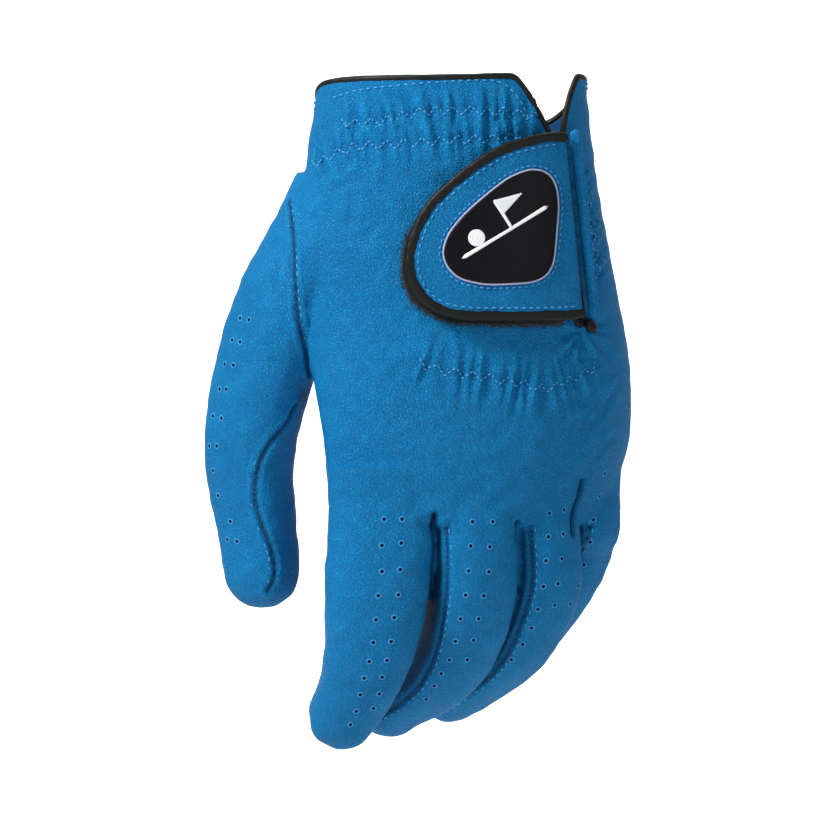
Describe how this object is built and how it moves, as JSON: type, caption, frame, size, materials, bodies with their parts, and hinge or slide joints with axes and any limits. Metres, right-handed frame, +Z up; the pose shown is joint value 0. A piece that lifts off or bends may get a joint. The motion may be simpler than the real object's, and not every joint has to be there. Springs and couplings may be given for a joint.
{
  "type": "golf glove",
  "caption": "Left-hand leather golf glove hanging from its cuff, fingers relaxed, with a hook-and-loop closure tab on the back of the wrist.",
  "frame": {"origin": "centre of the wrist opening, level with the back of the cuff's stitching line", "axes": "+Z up through the cuff, -Z towards the fingertips, -Y out of the back of the hand, +Y out of the palm, -X towards the thumb"},
  "size_m": [0.1364, 0.0914, 0.2221],
  "materials": {
    "leather": "satin",
    "binding": "matte",
    "hook_and_loop": "matte",
    "badge": "satin",
    "badge_rim": "matte",
    "elastic": "matte"
  },
  "bodies": {
    "hand": {"back_panel": "leather", "palm_panel": "leather", "cuff_binding": "binding", "slit_binding": "binding", "loop_pad": "hook_and_loop", "tab_root_strip": "leather", "wrist_elastic_upper": "elastic", "wrist_elastic_lower": "elastic", "back_elastic": "elastic", "side_elastic": "elastic"},
    "closure_tab": {"tab_leather": "leather", "tab_binding": "binding", "tab_hook_pad": "hook_and_loop", "tab_badge": "badge", "badge_rim": "badge_rim"},
    "thumb_root": {"thumb_back_root": "leather", "thumb_front_root": "leather"},
    "thumb_tip": {"thumb_back_tip": "leather", "thumb_front_tip": "leather"},
    "index_base": {"index_back_base": "leather", "index_palm_base": "leather", "index_outer_side_base": "leather"},
    "index_tip": {"index_back_tip": "leather", "index_palm_tip": "leather", "index_outer_side_tip": "leather"},
    "middle_base": {"middle_back_base": "leather", "middle_palm_base": "leather", "middle_outer_side_base": "leather", "middle_inner_side_base": "leather"},
    "middle_tip": {"middle_back_tip": "leather", "middle_palm_tip": "leather", "middle_outer_side_tip": "leather", "middle_inner_side_tip": "leather"},
    "ring_base": {"ring_back_base": "leather", "ring_palm_base": "leather", "ring_outer_side_base": "leather", "ring_inner_side_base": "leather"},
    "ring_tip": {"ring_back_tip": "leather", "ring_palm_tip": "leather", "ring_outer_side_tip": "leather", "ring_inner_side_tip": "leather"},
    "little_base": {"little_back_base": "leather", "little_palm_base": "leather", "little_inner_side_base": "leather"},
    "little_tip": {"little_back_tip": "leather", "little_palm_tip": "leather", "little_inner_side_tip": "leather"}
  },
  "joints": [
    {"name": "closure_tab_hinge", "type": "hinge", "parent": "hand", "child": "closure_tab", "pos_m": [0.0372, -0.00739, -0.0142], "axis": [-0.1126, -0.1289, 0.9852], "range_deg": [0, 110]},
    {"name": "index_knuckle", "type": "hinge", "parent": "hand", "child": "index_base", "pos_m": [-0.03027, 0.0156, -0.13215], "axis": [0.8988, 0.4384, 0], "range_deg": [0, 25]},
    {"name": "index_middle_joint", "type": "hinge", "parent": "index_base", "child": "index_tip", "pos_m": [-0.03595, 0.01666, -0.17013], "axis": [0.86, 0.5101, 0.0119], "range_deg": [0, 40]},
    {"name": "middle_knuckle", "type": "hinge", "parent": "hand", "child": "middle_base", "pos_m": [0.00079, 0.02142, -0.13215], "axis": [0.8746, 0.4848, 0], "range_deg": [0, 25]},
    {"name": "middle_middle_joint", "type": "hinge", "parent": "middle_base", "child": "middle_tip", "pos_m": [-0.00543, 0.02819, -0.17084], "axis": [0.7026, 0.7046, 0.1], "range_deg": [0, 40]},
    {"name": "ring_knuckle", "type": "hinge", "parent": "hand", "child": "ring_base", "pos_m": [0.02388, 0.03383, -0.13215], "axis": [0.8387, 0.5446, 0], "range_deg": [0, 22]},
    {"name": "ring_middle_joint", "type": "hinge", "parent": "ring_base", "child": "ring_tip", "pos_m": [0.01743, 0.0407, -0.16837], "axis": [0.7673, 0.6413, 0.003], "range_deg": [0, 40]},
    {"name": "little_knuckle", "type": "hinge", "parent": "hand", "child": "little_base", "pos_m": [0.03902, 0.05063, -0.13215], "axis": [0.8387, 0.5446, 0], "range_deg": [0, 30]},
    {"name": "little_middle_joint", "type": "hinge", "parent": "little_base", "child": "little_tip", "pos_m": [0.03249, 0.06014, -0.15439], "axis": [0.5939, 0.8029, 0.051], "range_deg": [0, 40]},
    {"name": "thumb_root_joint", "type": "hinge", "parent": "hand", "child": "thumb_root", "pos_m": [-0.0497, 0.001, -0.0409], "axis": [-0.0202, -0.1053, 0.9942], "range_deg": [0, 20]},
    {"name": "thumb_joint", "type": "hinge", "parent": "thumb_root", "child": "thumb_tip", "pos_m": [-0.05347, 0.03168, -0.10281], "axis": [0.766, -0.59, -0.255], "range_deg": [0, 20]}
  ]
}
